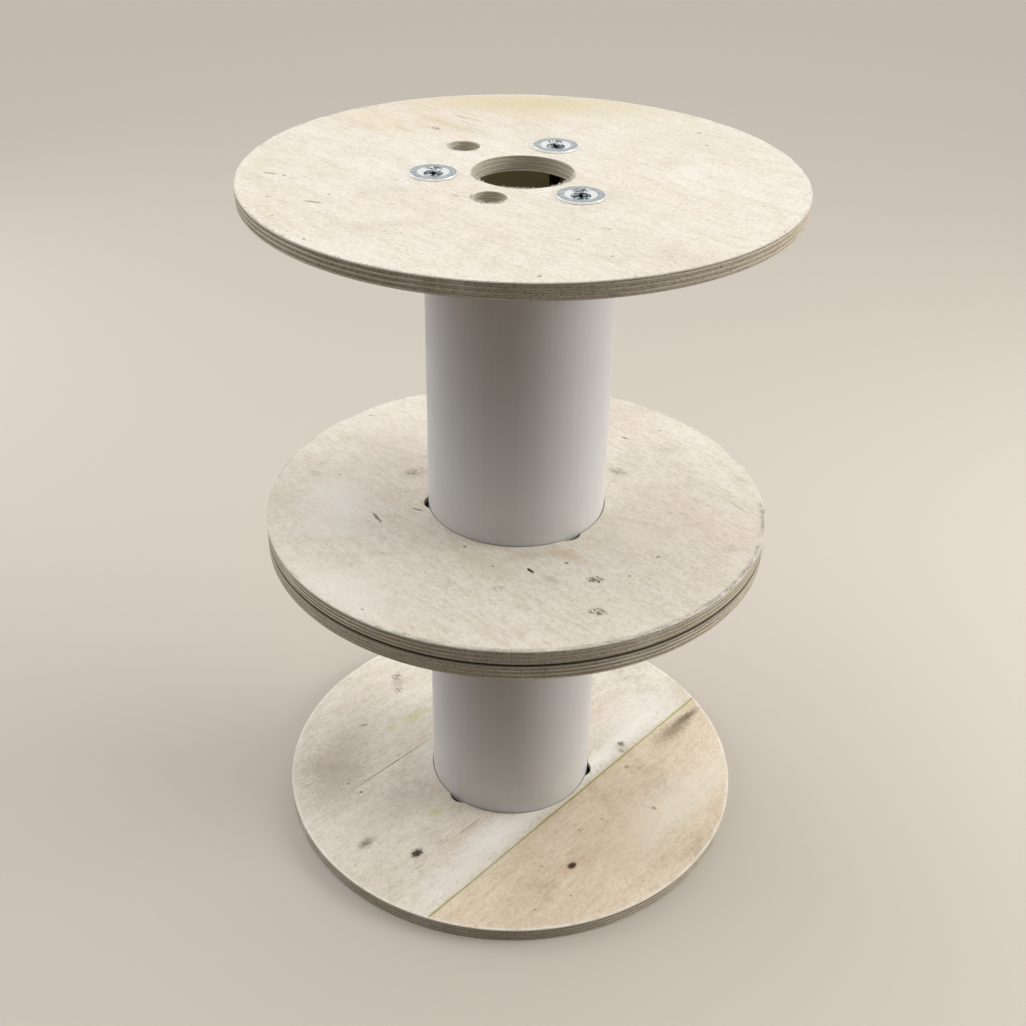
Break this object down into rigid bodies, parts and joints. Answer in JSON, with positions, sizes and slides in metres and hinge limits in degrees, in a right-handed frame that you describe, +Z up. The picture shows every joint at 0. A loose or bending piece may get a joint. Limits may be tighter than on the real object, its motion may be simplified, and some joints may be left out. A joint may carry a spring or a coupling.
{
  "type": "wooden cable drum",
  "caption": "Small plywood cable drum: like reels end to end, each a white plastic tube between round flanges with a spindle hole.",
  "frame": {"origin": "middle of the underside of the lowest flange, the face that the drum stands on", "axes": "+Z up along the drum's axis and spindle bore; -Y faces the picture's viewer"},
  "size_m": [0.31, 0.31, 0.4384],
  "materials": {
    "plywood": "sanded light veneer, unfinished, with banded edges",
    "core_tube": "smooth satin white extruded tube",
    "zinc_steel": "bright zinc plate"
  },
  "bodies": {
    "root": {"lower_bottom_flange": "plywood", "lower_core_tube": "core_tube", "lower_top_flange": "plywood", "lower_tie_bolt_1": "zinc_steel", "lower_tie_bolt_2": "zinc_steel", "lower_tie_bolt_3": "zinc_steel", "lower_bolt_washer_1": "zinc_steel", "lower_bolt_washer_2": "zinc_steel", "lower_bolt_washer_3": "zinc_steel", "lower_nut_washer_1": "zinc_steel", "lower_nut_washer_2": "zinc_steel", "lower_nut_washer_3": "zinc_steel", "lower_tie_nut_1": "zinc_steel", "lower_tie_nut_2": "zinc_steel", "lower_tie_nut_3": "zinc_steel", "upper_bottom_flange": "plywood", "upper_core_tube": "core_tube", "upper_top_flange": "plywood", "upper_tie_bolt_1": "zinc_steel", "upper_tie_bolt_2": "zinc_steel", "upper_tie_bolt_3": "zinc_steel", "upper_bolt_washer_1": "zinc_steel", "upper_bolt_washer_2": "zinc_steel", "upper_bolt_washer_3": "zinc_steel", "upper_nut_washer_1": "zinc_steel", "upper_nut_washer_2": "zinc_steel", "upper_nut_washer_3": "zinc_steel", "upper_tie_nut_1": "zinc_steel", "upper_tie_nut_2": "zinc_steel", "upper_tie_nut_3": "zinc_steel"}
  },
  "joints": []
}
